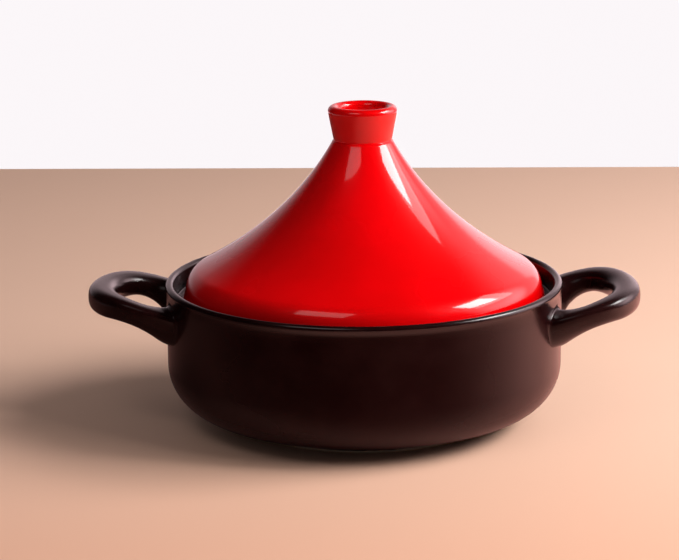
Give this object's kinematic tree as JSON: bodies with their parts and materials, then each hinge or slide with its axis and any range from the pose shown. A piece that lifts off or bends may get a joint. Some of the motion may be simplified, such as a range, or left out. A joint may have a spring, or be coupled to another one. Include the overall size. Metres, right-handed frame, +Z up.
{
  "type": "tagine pot",
  "caption": "Ceramic tagine pot: a rounded black bowl with loop handles and a lift-off conical red lid with a flared cup knob.",
  "frame": {"origin": "centre of the foot ring, on the face the pot stands on", "axes": "+Z up along the axis of the bowl and lid; +X towards the right-hand handle"},
  "size_m": [0.3342, 0.24, 0.1931],
  "materials": {
    "black_glaze": "satin black glaze",
    "red_glaze": "glossy red glaze"
  },
  "bodies": {
    "pot": {"pot_bowl": "black_glaze", "handle_left": "black_glaze", "handle_right": "black_glaze"},
    "lid": {"lid_shell": "red_glaze", "lid_knob": "red_glaze"}
  },
  "joints": [
    {"name": "lid_lift", "type": "slide", "parent": "pot", "child": "lid", "axis": [0, 0, 1], "range_m": [0, 0.15]}
  ]
}
